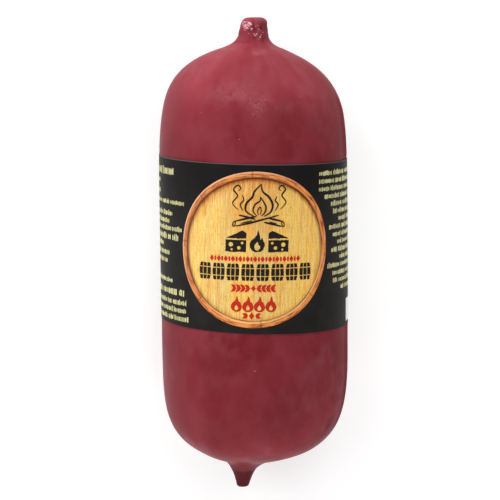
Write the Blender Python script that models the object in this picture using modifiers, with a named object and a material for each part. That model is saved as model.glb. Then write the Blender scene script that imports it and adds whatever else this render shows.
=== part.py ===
"""Smoked processed cheese: one waxed loaf with a label wrapped round it.

The loaf lies on its back with its printed side up. Its length runs along Y with the top
end at +Y, +X is the printed side's right, and the floor is at z = 0. Units are metres.
"""

import math
from typing import NamedTuple

import bpy

LOAF_RADIUS = 0.0266


class End(NamedTuple):
    """Sizes of one end of the loaf; distances run along it from its widest station."""
    reach: float            # where the dome alone would close
    flatness: float         # the higher, the longer the loaf keeps its full radius
    fullness: float         # the higher, the blunter the dome
    root: float             # where the dome turns into the stub or tail
    tip: float
    tip_radius: float
    taper: float            # growth of the radius for each metre away from the tip
    flare_length: float
    corner: float           # rounding of the tip's edge
    drift_start: float      # from here the dome drifts off the straight axis, along X
    drift: float
    shift: float            # a further step sideways, about the root
    shift_length: float
    lean: float             # sideways slope of the stub or tail beyond the root


# The top: a cone-like dome and the thick stub where the casing was gathered and closed
TOP = End(reach=0.0583, flatness=7.0, fullness=1.475, root=0.0568, tip=0.0653,
          tip_radius=0.00377, taper=0.101, flare_length=0.0013, corner=0.0021,
          drift_start=0.037, drift=-0.001, shift=0.0011, shift_length=0.0025, lean=0.084)

# The bottom: a blunter dome, and a tail of dripped wax that hangs well off to one side
BOTTOM = End(reach=0.0621, flatness=8.55, fullness=1.66, root=0.0609, tip=0.0695,
             tip_radius=0.0018, taper=0.238, flare_length=0.0018, corner=0.0009,
             drift_start=0.0287, drift=-0.00044, shift=-0.00294, shift_length=0.0036, lean=-0.065)

# The flat that the soft loaf has pressed into its back
FLAT_HALF_ANGLE = math.radians(15)

# The label: a thin sleeve that lies in a shallow seat, a little askew
LABEL_TOP_Y = 0.0284
LABEL_BOTTOM_Y = -0.0181
LABEL_TOP_SKEW = 0.031
LABEL_BOTTOM_SKEW = 0.041
LABEL_SINK = 0.00006        # its face lies this far below the wax, so it clears the floor
LABEL_THICKNESS = 0.0003
LABEL_GAP = 0.0003
SKEW_FADE = 0.022           # beyond the label the stations come square again over this length

SEGMENTS = 48
DOME_STATIONS = 15
STUB_STATIONS = 9
CORNER_STATIONS = 4
LABEL_STATIONS = 5
DOME_CROWDING = 1.9         # over 1, stations crowd towards the end of their stretch
STUB_CROWDING = 0.6         # under 1, they crowd towards its start

WIDEST_Y = (BOTTOM.tip - TOP.tip) / 2      # puts the origin under the middle of the length
AXIS_HEIGHT = LOAF_RADIUS * math.cos(FLAT_HALF_ANGLE)
WAX_COLOUR = (0.235, 0.034, 0.042, 1.0)
LABEL_COLOUR = (0.022, 0.020, 0.021, 1.0)


def smooth_step(value, start, end):
    """Rise from 0 at start to 1 at end with level ends."""
    share = min(max((value - start) / (end - start), 0.0), 1.0)
    return share * share * (3 - 2 * share)


def along(y):
    """The end that a station belongs to, and its distance from the widest station."""
    return (TOP if y > WIDEST_Y else BOTTOM), abs(y - WIDEST_Y)


def dome_radius(distance, end):
    """Radius of the loaf and its dome, before the stub or tail."""
    share = min(distance / end.reach, 1.0)
    return LOAF_RADIUS * (1 - share ** end.flatness) ** (1 / end.fullness)


def loaf_radius(y):
    """Radius of the waxed outside at a station: dome, flare, taper and rounded tip."""
    end, distance = along(y)
    if distance <= end.root:
        return dome_radius(distance, end)
    corner_start = end.tip - end.corner
    taper_at_root = end.tip_radius + end.taper * (corner_start - end.root)
    flare = dome_radius(end.root, end) - taper_at_root
    radius = end.tip_radius + end.taper * max(corner_start - distance, 0.0)
    radius += flare * math.exp((end.root - distance) / end.flare_length)
    turn = min(max((distance - corner_start) / end.corner, 0.0), 1.0)
    return radius - end.corner * (1 - math.sqrt(1 - turn * turn))


def axis_shift(y):
    """How far the middle of a station stands off the straight axis, along X."""
    end, distance = along(y)
    drift = end.drift * smooth_step(distance, end.drift_start, end.root)
    shift = end.shift * smooth_step(distance, end.root - end.shift_length, end.root + end.shift_length)
    return drift + shift + end.lean * max(distance - end.root, 0.0)


def station_skew(y):
    """Slope of a station's ring across X: the label's own skew, fading out beyond its edges."""
    share = (y - LABEL_BOTTOM_Y) / (LABEL_TOP_Y - LABEL_BOTTOM_Y)
    if share > 1:
        return LABEL_TOP_SKEW * (1 - smooth_step(y, LABEL_TOP_Y, LABEL_TOP_Y + SKEW_FADE))
    if share < 0:
        return LABEL_BOTTOM_SKEW * smooth_step(y, LABEL_BOTTOM_Y - SKEW_FADE, LABEL_BOTTOM_Y)
    return LABEL_BOTTOM_SKEW + (LABEL_TOP_SKEW - LABEL_BOTTOM_SKEW) * share


def spaced(start, end, count, crowding=1.0):
    """Stations after start and up to end."""
    return [start + (end - start) * (1 - (1 - index / count) ** crowding)
            for index in range(1, count + 1)]


def end_stations(seat_edge, end, side):
    """Stations from the label's seat over a dome, its stub or tail and the tip's corner."""
    root_y = WIDEST_Y + side * end.root
    corner_y = WIDEST_Y + side * (end.tip - end.corner)
    turns = [math.sin(math.pi / 2 * index / CORNER_STATIONS) for index in range(1, CORNER_STATIONS + 1)]
    stations = spaced(seat_edge, root_y, DOME_STATIONS, DOME_CROWDING)
    stations += spaced(root_y, corner_y, STUB_STATIONS, STUB_CROWDING)
    return stations + [corner_y + side * end.corner * turn for turn in turns]


def loaf_profile():
    """Points (station, depth below the waxed outside) from the top tip to the bottom tip."""
    seat_top = LABEL_TOP_Y + LABEL_GAP
    seat_bottom = LABEL_BOTTOM_Y - LABEL_GAP
    seat_depth = LABEL_SINK + LABEL_THICKNESS + LABEL_GAP
    seat = [seat_top] + spaced(seat_top, seat_bottom, LABEL_STATIONS)
    top = end_stations(seat_top, TOP, 1)
    bottom = end_stations(seat_bottom, BOTTOM, -1)
    profile = [(top[-1], loaf_radius(top[-1]))] + [(y, 0.0) for y in reversed(top)]
    profile += [(seat_top, 0.0)] + [(y, seat_depth) for y in seat] + [(seat_bottom, 0.0)]
    profile += [(y, 0.0) for y in bottom] + [(bottom[-1], loaf_radius(bottom[-1]))]
    return profile


def label_profile():
    """The label's closed section: down its outer face, then back up its inner face."""
    stations = [LABEL_TOP_Y] + spaced(LABEL_TOP_Y, LABEL_BOTTOM_Y, LABEL_STATIONS)
    outer = [(y, LABEL_SINK) for y in stations]
    inner = [(y, LABEL_SINK + LABEL_THICKNESS) for y in reversed(stations)]
    return outer + inner


def turned_mesh(name, profile, closed):
    """Turn a profile round Z with a Screw modifier and return the mesh it makes."""
    points = [(loaf_radius(y) - depth, 0.0, y) for y, depth in profile]
    edges = [(index, index + 1) for index in range(len(points) - 1)]
    if closed:
        edges.append((len(points) - 1, 0))
    outline = bpy.data.meshes.new(name + "_outline")
    outline.from_pydata(points, edges, [])
    turned = bpy.data.objects.new(name + "_outline", outline)
    bpy.context.scene.collection.objects.link(turned)
    screw = turned.modifiers.new("Turn", "SCREW")
    screw.axis = "Z"
    screw.steps = SEGMENTS
    screw.render_steps = SEGMENTS
    screw.use_merge_vertices = True
    screw.merge_threshold = 0.00001
    depsgraph = bpy.context.evaluated_depsgraph_get()
    mesh = bpy.data.meshes.new_from_object(turned.evaluated_get(depsgraph))
    mesh.name = name
    bpy.data.objects.remove(turned)
    bpy.data.meshes.remove(outline)
    return mesh


def lie_down(mesh):
    """Lay a turned mesh on its back, and give it the loaf's skew, lean and flat."""
    for vertex in mesh.vertices:
        across, front, station = vertex.co
        reach = math.hypot(across, front)
        if reach == 0:
            vertex.co = (axis_shift(station), station, AXIS_HEIGHT)
            continue
        depth = loaf_radius(station) - reach
        y = station - station_skew(station) * across
        radius = loaf_radius(y) - depth
        height = AXIS_HEIGHT - radius * front / reach
        vertex.co = (radius * across / reach + axis_shift(y), y, max(height, depth))


def principled(name, colour, roughness):
    """A plain Principled material."""
    material = bpy.data.materials.new(name)
    material.use_nodes = True
    shader = material.node_tree.nodes["Principled BSDF"]
    shader.inputs["Base Color"].default_value = colour
    shader.inputs["Roughness"].default_value = roughness
    shader.inputs["Metallic"].default_value = 0.0
    return material


def add_part(collection, name, mesh, material):
    """Put a finished mesh in the scene as one named sub-part."""
    mesh.materials.clear()
    mesh.materials.append(material)
    mesh.shade_smooth()
    mesh.set_sharp_from_angle(angle=math.radians(40))
    part = bpy.data.objects.new(name, mesh)
    collection.objects.link(part)
    return part


def build_waxed_cheese(collection):
    """The cheese in its wax: one solid with its stub, its tail and the label's seat."""
    mesh = turned_mesh("waxed_cheese", loaf_profile(), closed=False)
    lie_down(mesh)
    return add_part(collection, "waxed_cheese", mesh, principled("dark_red_wax", WAX_COLOUR, 0.45))


def build_label(collection):
    """The label: a sleeve of printed paper, clear of the seat and of the floor."""
    mesh = turned_mesh("label", label_profile(), closed=True)
    lie_down(mesh)
    return add_part(collection, "label", mesh, principled("printed_label", LABEL_COLOUR, 0.5))


for old_object in list(bpy.data.objects):
    bpy.data.objects.remove(old_object)
cheese_collection = bpy.data.collections.new("smoked_processed_cheese")
bpy.context.scene.collection.children.link(cheese_collection)
build_waxed_cheese(cheese_collection)
build_label(cheese_collection)
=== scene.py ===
import math
import random
from typing import NamedTuple

import bmesh
import bpy
from mathutils import Matrix, Vector, noise
from mathutils.geometry import interpolate_bezier


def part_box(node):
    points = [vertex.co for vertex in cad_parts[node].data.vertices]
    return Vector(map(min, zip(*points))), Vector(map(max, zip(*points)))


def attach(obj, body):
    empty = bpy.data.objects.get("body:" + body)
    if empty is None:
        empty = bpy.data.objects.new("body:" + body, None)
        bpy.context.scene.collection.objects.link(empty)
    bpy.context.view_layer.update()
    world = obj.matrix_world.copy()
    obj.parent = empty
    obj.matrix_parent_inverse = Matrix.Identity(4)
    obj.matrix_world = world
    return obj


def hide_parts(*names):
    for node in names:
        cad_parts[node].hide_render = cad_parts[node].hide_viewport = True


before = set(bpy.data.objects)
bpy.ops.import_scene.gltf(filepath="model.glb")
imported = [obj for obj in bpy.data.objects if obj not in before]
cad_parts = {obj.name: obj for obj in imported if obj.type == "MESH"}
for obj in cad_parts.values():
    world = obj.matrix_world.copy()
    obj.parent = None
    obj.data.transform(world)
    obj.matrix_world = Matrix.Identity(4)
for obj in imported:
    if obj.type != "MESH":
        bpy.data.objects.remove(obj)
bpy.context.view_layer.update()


# The waxed loaf. Smoked processed cheese, cast in a casing and dipped in dark red cheese wax.
# The casing was gathered into a stub at the top, and the last wax ran down to a tail at the
# bottom. The loaf has lain on its back, so the soft underside is pressed flat there.
loaf_low, loaf_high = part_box("waxed_cheese")
LOAF_RADIUS = (loaf_high.x - loaf_low.x) / 2
AXIS_HEIGHT = loaf_high.z - LOAF_RADIUS


class End(NamedTuple):
    """Sizes of one end of the loaf; distances run along it from its widest station."""
    reach: float            # where the dome alone would close
    flatness: float         # the higher, the longer the loaf keeps its full radius
    fullness: float         # the higher, the blunter the dome
    root: float             # where the dome turns into the stub or tail
    tip: float
    tip_radius: float
    taper: float            # growth of the radius for each metre away from the tip
    flare_length: float
    corner: float           # rounding of the tip's edge
    drift_start: float      # from here the dome drifts off the straight axis, along X
    drift: float
    shift: float            # a further step sideways, about the root
    shift_length: float
    lean: float             # sideways slope of the stub or tail beyond the root


TOP = End(reach=0.0583, flatness=7.0, fullness=1.475, root=0.0568, tip=0.0653,
          tip_radius=0.00377, taper=0.101, flare_length=0.0013, corner=0.0021,
          drift_start=0.037, drift=-0.001, shift=0.0011, shift_length=0.0025, lean=0.084)
BOTTOM = End(reach=0.0621, flatness=8.55, fullness=1.66, root=0.0609, tip=0.0695,
             tip_radius=0.0018, taper=0.238, flare_length=0.0018, corner=0.0009,
             drift_start=0.0287, drift=-0.00044, shift=-0.00294, shift_length=0.0036, lean=-0.065)
WIDEST_Y = (BOTTOM.tip - TOP.tip) / 2
LABEL_TOP_Y = 0.0284
LABEL_BOTTOM_Y = -0.0181
LABEL_TOP_SKEW = 0.031      # the label's edges slope this much across the loaf
LABEL_BOTTOM_SKEW = 0.041
SEAT_DEPTH = 0.0004         # the wax is pressed in under the label
SEAT_EDGE = 0.0005          # the seat reaches its depth this far in from the label's edges
LOAF_TURNS = 176
DOME_STATIONS = 60
DOME_CROWDING = 1.9         # over 1, the stations stand closer towards the root
STUB_STATIONS = 26
STUB_CROWDING = 0.75
CORNER_STATIONS = 8
MIDDLE_STATIONS = 36
SAME_PLACE = 1e-7
FRONT_SWELL = (             # station, width, height
    (0.0500, 0.0042, -0.00040),
    (0.0500, 0.0075, -0.00080),
    (0.0365, 0.0050, -0.00009),
)
ROOT_SWELL = ((0.0570, 0.0012, 0.00042),)
WAVE_HEIGHT = 0.00014       # slow waves all over the loaf
WAVES = (1.3, 45, 0)        # how fine they are round and along the loaf, and their seed
LUMP_HEIGHT = 0.00016       # small lumps on the stub
LUMPS = (1.8, 700, 3)


def smooth_step(value, start, end):
    """Rise from 0 at start to 1 at end with level ends."""
    share = min(max((value - start) / (end - start), 0.0), 1.0)
    return share * share * (3 - 2 * share)


def along(y):
    """The end that a station belongs to, and its distance from the widest station."""
    return (TOP if y > WIDEST_Y else BOTTOM), abs(y - WIDEST_Y)


def dome_radius(distance, end):
    """Radius of the loaf and its dome, before the stub or tail."""
    share = min(distance / end.reach, 1.0)
    return LOAF_RADIUS * (1 - share ** end.flatness) ** (1 / end.fullness)


def loaf_radius(y):
    """Radius of the waxed outside at a station: dome, flare, taper and rounded tip."""
    end, distance = along(y)
    if distance <= end.root:
        return dome_radius(distance, end)
    corner_start = end.tip - end.corner
    taper_at_root = end.tip_radius + end.taper * (corner_start - end.root)
    flare = dome_radius(end.root, end) - taper_at_root
    radius = end.tip_radius + end.taper * max(corner_start - distance, 0.0)
    radius += flare * math.exp((end.root - distance) / end.flare_length)
    turn = min(max((distance - corner_start) / end.corner, 0.0), 1.0)
    return radius - end.corner * (1 - math.sqrt(1 - turn * turn))


def axis_shift(y):
    """How far the middle of a station stands off the straight axis, along X."""
    end, distance = along(y)
    drift = end.drift * smooth_step(distance, end.drift_start, end.root)
    shift = end.shift * smooth_step(distance, end.root - end.shift_length, end.root + end.shift_length)
    return drift + shift + end.lean * max(distance - end.root, 0.0)


def uneven(y, turn, fine_round, fine_along, seed):
    """Smooth noise, -1 to 1, on the loaf's skin."""
    spot = Vector((math.sin(turn) * fine_round, y * fine_along, math.cos(turn) * fine_round + seed))
    return noise.noise(spot)


def hand_made(y, turn):
    """What the real loaf's radius departs from the turned form by, at a station and a turn."""
    end, distance = along(y)
    swell = 0.0
    if end is TOP:
        for swells, share in ((FRONT_SWELL, smooth_step(math.cos(turn), 0.1, 0.7)), (ROOT_SWELL, 1.0)):
            for middle, width, height in swells:
                swell += share * height * math.exp(-((distance - middle) / width) ** 2)
    clear = max(y - LABEL_TOP_Y, LABEL_BOTTOM_Y - y)
    calm = smooth_step(clear, 0.001, 0.01) * smooth_step(loaf_radius(y), 0.002, 0.012)
    swell += WAVE_HEIGHT * uneven(y, turn, *WAVES) * calm
    if end is TOP and distance > end.root:
        grown = smooth_step(distance, end.root, end.root + 0.003)
        swell += LUMP_HEIGHT * uneven(y, turn, *LUMPS) * grown
    return swell


def skin_point(y, turn, height):
    """A point at a height above the loaf's surface; turn 0 faces up and grows towards +X."""
    radius = max(loaf_radius(y) + hand_made(y, turn) + height, 0.0)
    return Vector((radius * math.sin(turn) + axis_shift(y), y, AXIS_HEIGHT + radius * math.cos(turn)))


def spaced(start, end, count, crowding=1.0):
    """Stations after start and up to end, crowding towards end when crowding is over 1."""
    return [start + (end - start) * (1 - (1 - index / count) ** crowding)
            for index in range(1, count + 1)]


def end_stations(edge, end, side):
    """Stations from the label's edge over a dome, its stub or tail and the tip's corner."""
    root_y = WIDEST_Y + side * end.root
    corner_y = WIDEST_Y + side * (end.tip - end.corner)
    stations = spaced(edge, root_y, DOME_STATIONS, DOME_CROWDING)
    stations += spaced(root_y, corner_y, STUB_STATIONS, STUB_CROWDING)
    for turn in spaced(0, math.pi / 2, CORNER_STATIONS):
        stations.append(corner_y + side * end.corner * math.sin(turn))
    return stations


def label_skew(y):
    """Slope of the label across X at a station between its edges."""
    share = min(max((y - LABEL_BOTTOM_Y) / (LABEL_TOP_Y - LABEL_BOTTOM_Y), 0.0), 1.0)
    return LABEL_BOTTOM_SKEW + (LABEL_TOP_SKEW - LABEL_BOTTOM_SKEW) * share


def wax_sheet():
    """The loaf's skin: its section spun round Y, then made uneven and pressed flat underneath."""
    top = end_stations(LABEL_TOP_Y, TOP, 1)
    middle = [LABEL_TOP_Y] + spaced(LABEL_TOP_Y, LABEL_BOTTOM_Y, MIDDLE_STATIONS)
    bottom = end_stations(LABEL_BOTTOM_Y, BOTTOM, -1)
    stations = top[::-1] + middle + bottom
    skin = bmesh.new()
    section = [skin.verts.new((0, stations[0], 0))]
    section += [skin.verts.new((0, y, loaf_radius(y))) for y in stations]
    section += [skin.verts.new((0, stations[-1], 0))]
    edges = [skin.edges.new(pair) for pair in zip(section, section[1:])]
    bmesh.ops.spin(skin, geom=section + edges, cent=(0, 0, 0), axis=(0, 1, 0), angle=math.tau,
                   steps=LOAF_TURNS, use_merge=True)
    bmesh.ops.remove_doubles(skin, verts=skin.verts, dist=SAME_PLACE)
    for vertex in skin.verts:
        x, y, z = vertex.co
        if math.hypot(x, z) < SAME_PLACE:
            vertex.co = (axis_shift(y), y, AXIS_HEIGHT)
            continue
        skewed_y = y + label_skew(y) * x
        inside = min(LABEL_TOP_Y - skewed_y, skewed_y - LABEL_BOTTOM_Y)
        depth = SEAT_DEPTH * smooth_step(inside, SEAT_EDGE / 2, SEAT_EDGE)
        vertex.co = skin_point(y, math.atan2(x, z), -depth)
        vertex.co.z = max(vertex.co.z, depth)
    bmesh.ops.recalc_face_normals(skin, faces=skin.faces)
    return skin


def placed(name, data):
    """A new object in the scene."""
    item = bpy.data.objects.new(name, data)
    bpy.context.scene.collection.objects.link(item)
    return item


def object_from(name, shape, finish):
    """Turn a bmesh into an object in one material."""
    mesh = bpy.data.meshes.new(name)
    shape.to_mesh(mesh)
    shape.free()
    mesh.materials.append(finish)
    return placed(name, mesh)


def piece_from(name, shape, finish, sharp=40):
    """Turn a bmesh into a finished piece that rides on the loaf."""
    piece = object_from(name, shape, finish)
    piece.data.shade_smooth()
    piece.data.set_sharp_from_angle(angle=math.radians(sharp))
    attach(piece, "root")
    return piece


class Finish:
    """A procedural material in the making: nodes round one Principled shader."""

    def __init__(self, name, roughness=0.5, flat_map=None, **sockets):
        self.material = bpy.data.materials.new(name)
        self.material.use_nodes = True
        self.nodes = self.material.node_tree.nodes
        self.links = self.material.node_tree.links
        self.shader = self.nodes["Principled BSDF"]
        self.shader.inputs["Roughness"].default_value = roughness
        for socket, value in sockets.items():
            self.shader.inputs[socket.replace("_", " ")].default_value = value
        if flat_map:
            self.spot = self.add("UVMap", {}, uv_map=flat_map).outputs["UV"]
        else:
            self.spot = self.add("TexCoord", {}).outputs["Object"]
        self.colour = None

    def add(self, kind, inputs, **settings):
        """A node; each input is a value or another node's output."""
        node = self.nodes.new("ShaderNode" + kind)
        for setting, value in settings.items():
            setattr(node, setting, value)
        for socket, value in inputs.items():
            if isinstance(value, bpy.types.NodeSocket):
                self.links.new(value, node.inputs[socket])
            else:
                node.inputs[socket].default_value = value
        return node

    def math(self, operation, a, b=0.0):
        return self.add("Math", {0: a, 1: b}, operation=operation).outputs[0]

    def times(self, share, *others):
        """Shares multiplied together."""
        for other in others:
            share = self.math("MULTIPLY", share, other)
        return share

    def off(self, value, middle):
        """How far a value is from a middle one."""
        return self.math("ABSOLUTE", self.math("SUBTRACT", value, middle))

    def vector(self, operation, *inputs):
        outputs = self.add("VectorMath", dict(enumerate(inputs)), operation=operation).outputs
        return outputs["Value" if operation in ("LENGTH", "DISTANCE", "DOT_PRODUCT") else "Vector"]

    def split(self, place):
        """A place's coordinates, as outputs X, Y and Z."""
        return self.add("SeparateXYZ", {0: place}).outputs

    def ramp(self, value, low, high, to_low=0.0, to_high=1.0):
        """Smoothly map value from low..high to to_low..to_high, and hold it there outside."""
        return self.add("MapRange", {"Value": value, "From Min": low, "From Max": high,
                                     "To Min": to_low, "To Max": to_high},
                        interpolation_type="SMOOTHSTEP").outputs[0]

    def noise(self, place, detail=2.0, roughness=0.5, seed=0.0, output="Fac"):
        """Smooth noise, 0 to 1, at a place, or at the piece's own coordinates times a stretch."""
        if isinstance(place, tuple):
            place = self.vector("MULTIPLY", self.spot, place)
        moved = self.vector("ADD", place, (seed, seed, seed))
        return self.add("TexNoise", {"Vector": moved, "Scale": 1.0, "Detail": detail,
                                     "Roughness": roughness}).outputs[output]

    def specks(self, fineness, rarity, core, edge, strength):
        """Round specks in some cells of a pattern, fading from core to edge."""
        place = self.vector("MULTIPLY", self.spot, (fineness, fineness, fineness))
        cells = self.add("TexVoronoi", {"Vector": place, "Scale": 1.0}).outputs
        drawn = self.add("SeparateColor", {0: cells["Color"]}).outputs[0]
        return self.times(self.ramp(cells["Distance"], core, edge, strength, 0.0),
                          self.math("GREATER_THAN", drawn, rarity))

    def mix(self, share, under, over):
        """Colour over colour, by a share."""
        return self.add("Mix", {0: share, 6: under, 7: over}, data_type="RGBA").outputs[2]

    def lay(self, colour, share, *limits):
        """Lay a colour over the paint so far, by a share, or by a value's ramp between limits."""
        if limits:
            share = self.ramp(share, *limits)
        self.colour = self.mix(share, self.colour, colour)

    def connect(self, socket, value):
        self.links.new(value, self.shader.inputs[socket])

    def bump(self, height, distance, strength, under=None):
        """A bump of a height map, over another bump where one is given."""
        inputs = {"Height": height, "Distance": distance, "Strength": strength}
        if under is not None:
            inputs["Normal"] = under
        return self.add("Bump", inputs).outputs[0]

    def painted(self):
        """The finished material, in the paint that was laid."""
        self.connect("Base Color", self.colour)
        return self.material


def rgb(red, green, blue):
    """A display colour, 0 to 255 a channel, as the shader's linear colour."""
    linear = [((c / 255 + 0.055) / 1.055) ** 2.4 if c > 10 else c / 255 / 12.92
              for c in (red, green, blue)]
    return (*linear, 1.0)


MM = 0.001
WAX_DEEP = rgb(116, 36, 43)
WAX_LIGHT = rgb(131, 47, 56)
# Also laid as painted shade: in the crease at the stub's root, in the darker ridge streaks and on the right
# flank.
WAX_RED = rgb(110, 26, 36)
# Pale bloom on the wax, also laid as the painted highlight of the ridge streaks under the stub.
WAX_BLOOM_AND_HIGHLIGHT = rgb(160, 106, 115)
WAX_SPECK = rgb(196, 146, 146)
WAX_TAIL_ROOT = rgb(104, 46, 52)
WAX_TAIL_TIP = rgb(84, 30, 33)
WAX_BROWN = rgb(92, 38, 42)
# Painted shade: on the lower right of the bottom dome, on the right flank and in the scuffs' wrinkles.
WAX_PAINTED_SHADE = rgb(72, 20, 25)
WAX_FLANK = rgb(106, 44, 52)
WAX_SCUFF = rgb(166, 90, 100)
WAX_CRACKLE = rgb(210, 122, 136)
WAX_PINK = rgb(158, 48, 80)
WAX_GLOSS = 0.03
WAX_DULL = 0.002            # on the right flank
DULL_FADES = ((0.043, 0.049, 1.0, 0.0), (-0.055, -0.048))      # by station, at both ends
FLANK_X = (-0.015, -0.022)  # from here to here the left flank turns greyer
SHADED_CREASE_Y = 0.0607           # painted shade: a dark red line in the crease round the right of the stub's root
RIDGE_SHADING_Y = (0.046, 0.055)  # the streaks of painted light and shade grow from here to here
CRACKLE_Y = (0.0605, 0.062)         # the scuffs' lines turn paler
TAIL_ROOT_Y = (-0.0600, -0.0588)    # the dark colours of the tail fade out
TAIL_TIP_Y = (-0.0628, -0.0617)
RAGGED = 2.4                # how far the patches' edges stray, against their reach
WAX_PATCHES = (             # colour, middle and reach in millimetres, share
    (WAX_BLOOM_AND_HIGHLIGHT, (-1.2, 46.7, 49.4), 5.0, 0.1),
    (WAX_BLOOM_AND_HIGHLIGHT, (-6.1, 47.6, 48.5), 5.0, 0.13),
    (WAX_BLOOM_AND_HIGHLIGHT, (-10.2, 47.5, 46.9), 4.0, 0.1),
    (WAX_BLOOM_AND_HIGHLIGHT, (3.4, 46.2, 49.4), 4.0, 0.1),
    (WAX_BLOOM_AND_HIGHLIGHT, (9.1, 46.5, 48.1), 5.0, 0.12),
    (WAX_BLOOM_AND_HIGHLIGHT, (1.5, 58.2, 35.4), 4.0, 0.26),
    (WAX_BLOOM_AND_HIGHLIGHT, (-17.8, 54.0, 34.5), 6.0, 0.16),
    (WAX_LIGHT, (-6.1, 52.5, 44.6), 6.0, 0.7),
    (WAX_BLOOM_AND_HIGHLIGHT, (17.9, 42.4, 43.4), 12.0, 0.08),
    (WAX_BLOOM_AND_HIGHLIGHT, (-2.3, -56.3, 41.1), 4.5, 0.26),
    (WAX_BLOOM_AND_HIGHLIGHT, (2.7, -54.1, 44.4), 5.0, 0.12),
    (WAX_BLOOM_AND_HIGHLIGHT, (-17.0, -53.5, 36.4), 7.0, 0.3),
    (WAX_BLOOM_AND_HIGHLIGHT, (-25.3, -31.4, 33.8), 7.0, 0.12),
    (WAX_BLOOM_AND_HIGHLIGHT, (-11.0, -23.4, 49.9), 7.0, 0.04),
    (WAX_BLOOM_AND_HIGHLIGHT, (18.5, -24.7, 44.7), 8.0, 0.16),
    (WAX_BLOOM_AND_HIGHLIGHT, (6.7, -40.5, 51.0), 8.0, 0.04),
    (WAX_RED, (4.5, -30.5, 52.4), 7.0, 0.5),
    (WAX_BLOOM_AND_HIGHLIGHT, (16.5, -35.1, 46.2), 13.0, 0.08),
    (WAX_LIGHT, (13.8, 36.2, 48.0), 10.0, 0.7),
    (WAX_RED, (-4.4, 41.6, 50.6), 5.0, 0.5),
    (WAX_RED, (-3.2, 36.6, 51.7), 5.5, 0.7),
    (WAX_RED, (0.2, 35.0, 52.0), 4.0, 0.5),
    (WAX_RED, (8.4, 33.0, 50.7), 5.0, 0.6),
    (WAX_RED, (-4.7, -21.5, 51.9), 9.0, 0.8),
    (WAX_RED, (1.0, -21.3, 52.3), 8.0, 0.6),
    # These three are painted shade on the right flank.
    (WAX_RED, (24.5, -24.4, 36.0), 9.0, 0.5),
    (WAX_RED, (24.5, -34.5, 35.5), 9.0, 0.7),
    (WAX_RED, (23.4, -44.9, 34.2), 9.0, 0.9),
    (WAX_RED, (-2.5, 32.4, 51.9), 5.0, 0.5),
    (WAX_LIGHT, (17.2, 33.2, 45.5), 7.0, 0.6),
    # These five are painted shade, on the lower right of the bottom dome and on the right flank.
    (WAX_PAINTED_SHADE, (0.5, -56.6, 41.0), 5.0, 0.4),
    (WAX_PAINTED_SHADE, (4.6, -56.2, 40.6), 5.0, 0.5),
    (WAX_PAINTED_SHADE, (14.6, -53.4, 38.6), 7.5, 0.55),
    (WAX_PAINTED_SHADE, (20.6, -49.6, 35.8), 7.5, 0.45),
    (WAX_PAINTED_SHADE, (25.0, -40.0, 33.0), 8.0, 0.25),
    (WAX_PINK, (-2.4, 66.0, 28.4), 2.6, 0.7),
    (WAX_BROWN, (3.4, 65.0, 27.6), 2.6, 0.6),
    (WAX_BROWN, (2.6, 62.4, 28.9), 1.6, 0.4),
)
SCUFF_PATCHES = (           # fine pale scuffs and wrinkles: middle and reach in millimetres, share
    ((-1.2, 46.7, 49.4), 5.0, 0.25),
    ((2.8, 44.2, 50.2), 4.5, 0.5),
    ((-6.6, 47.6, 48.4), 6.5, 0.25),
    ((-1.6, 34.6, 51.9), 4.0, 0.12),
    ((2.4, 64.3, 28.9), 3.5, 0.9),
)


def near_patch(finish, stray, middle, reach, strength):
    """How strongly a place lies in a ragged patch."""
    reach *= MM
    strayed = finish.vector("MULTIPLY_ADD", stray, Vector((1, 1, 1)) * RAGGED * reach, finish.spot)
    away = finish.vector("DISTANCE", strayed, Vector(middle) * MM)
    return finish.ramp(away, reach * 0.15, reach, strength, 0.0)


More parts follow.
